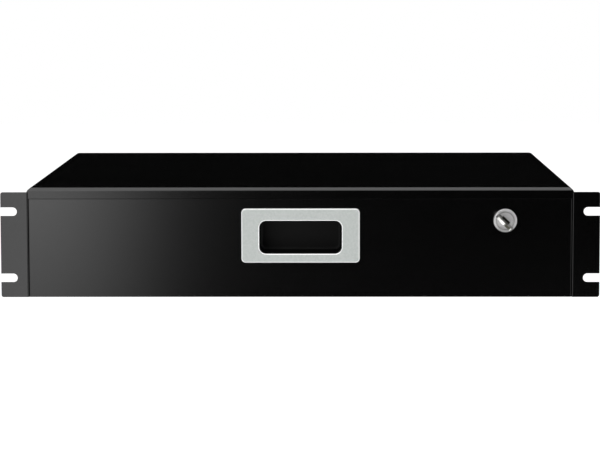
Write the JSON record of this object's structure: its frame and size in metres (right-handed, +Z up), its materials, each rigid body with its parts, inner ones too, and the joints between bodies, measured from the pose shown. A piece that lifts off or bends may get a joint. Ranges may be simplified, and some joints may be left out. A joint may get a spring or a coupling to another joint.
{
  "type": "sliding rack drawer",
  "caption": "Black steel rack drawer, two units high, on ball-bearing slides, with a recessed pull in a satin metal surround and a cam lock with its key.",
  "frame": {"origin": "centre of the whole part's box in X and Y, on its underside", "axes": "+X to the right seen from the front, +Y to the rear of the rack, +Z up; the drawer opens along -Y"},
  "size_m": [0.4826, 0.404, 0.0885],
  "materials": {
    "black_paint": "black powder coat with a fine grain",
    "front_paint": "black powder coat with a fine grain",
    "black_screws": "black finished steel",
    "zinc_fixings": "bright zinc plate",
    "surround_metal": "satin face with bright rims",
    "cup_plastic": "black, dull",
    "lock_metal": "polished",
    "plug_metal": "polished",
    "key_metal": "nickel plate, satin",
    "rail_zinc": "bright zinc plate",
    "cage_steel": "dull zinc plate",
    "ball_steel": "polished"
  },
  "bodies": {
    "case": {"case_cover": "black_paint", "base_pan": "black_paint", "lock_strike": "black_paint", "case_side_screws": "black_screws", "left_rail_outer": "rail_zinc", "right_rail_outer": "rail_zinc"},
    "left_middle": {"left_rail_middle": "rail_zinc"},
    "left_outer_race": {"left_outer_cage": "cage_steel", "left_outer_balls": "ball_steel"},
    "left_inner_race": {"left_inner_cage": "cage_steel", "left_inner_balls": "ball_steel"},
    "right_middle": {"right_rail_middle": "rail_zinc"},
    "right_outer_race": {"right_outer_cage": "cage_steel", "right_outer_balls": "ball_steel"},
    "right_inner_race": {"right_inner_cage": "cage_steel", "right_inner_balls": "ball_steel"},
    "drawer": {"drawer_tray": "black_paint", "drawer_front": "front_paint", "front_studs": "zinc_fixings", "front_nuts": "zinc_fixings", "rail_tray_screws": "zinc_fixings", "left_rail_inner": "rail_zinc", "right_rail_inner": "rail_zinc", "pull_surround": "surround_metal", "pull_cup": "cup_plastic", "pull_nuts": "zinc_fixings", "lock_housing": "lock_metal", "lock_nut": "zinc_fixings"},
    "lock_turning": {"lock_plug": "plug_metal", "key": "key_metal", "lock_cam": "zinc_fixings", "cam_washer": "zinc_fixings", "cam_screw": "zinc_fixings"}
  },
  "joints": [
    {"name": "drawer_slide", "type": "slide", "parent": "case", "child": "drawer", "axis": [0, -1, 0], "range_m": [0, 0.34]},
    {"name": "left_middle_slide", "type": "slide", "parent": "case", "child": "left_middle", "axis": [0, -1, 0], "range_m": [0, 0.17]},
    {"name": "left_outer_race_slide", "type": "slide", "parent": "case", "child": "left_outer_race", "axis": [0, -1, 0], "range_m": [0, 0.085]},
    {"name": "left_inner_race_slide", "type": "slide", "parent": "case", "child": "left_inner_race", "axis": [0, -1, 0], "range_m": [0, 0.255]},
    {"name": "right_middle_slide", "type": "slide", "parent": "case", "child": "right_middle", "axis": [0, -1, 0], "range_m": [0, 0.17]},
    {"name": "right_outer_race_slide", "type": "slide", "parent": "case", "child": "right_outer_race", "axis": [0, -1, 0], "range_m": [0, 0.085]},
    {"name": "right_inner_race_slide", "type": "slide", "parent": "case", "child": "right_inner_race", "axis": [0, -1, 0], "range_m": [0, 0.255]},
    {"name": "lock_turn", "type": "hinge", "parent": "drawer", "child": "lock_turning", "pos_m": [0.165, -0.1765, 0.0621], "axis": [0, -1, 0], "range_deg": [-47, 43]}
  ],
  "couplings": [
    {"joint": "left_middle_slide", "follows": "drawer_slide", "ratio": 0.5},
    {"joint": "left_outer_race_slide", "follows": "drawer_slide", "ratio": 0.25},
    {"joint": "left_inner_race_slide", "follows": "drawer_slide", "ratio": 0.75},
    {"joint": "right_middle_slide", "follows": "drawer_slide", "ratio": 0.5},
    {"joint": "right_outer_race_slide", "follows": "drawer_slide", "ratio": 0.25},
    {"joint": "right_inner_race_slide", "follows": "drawer_slide", "ratio": 0.75}
  ]
}
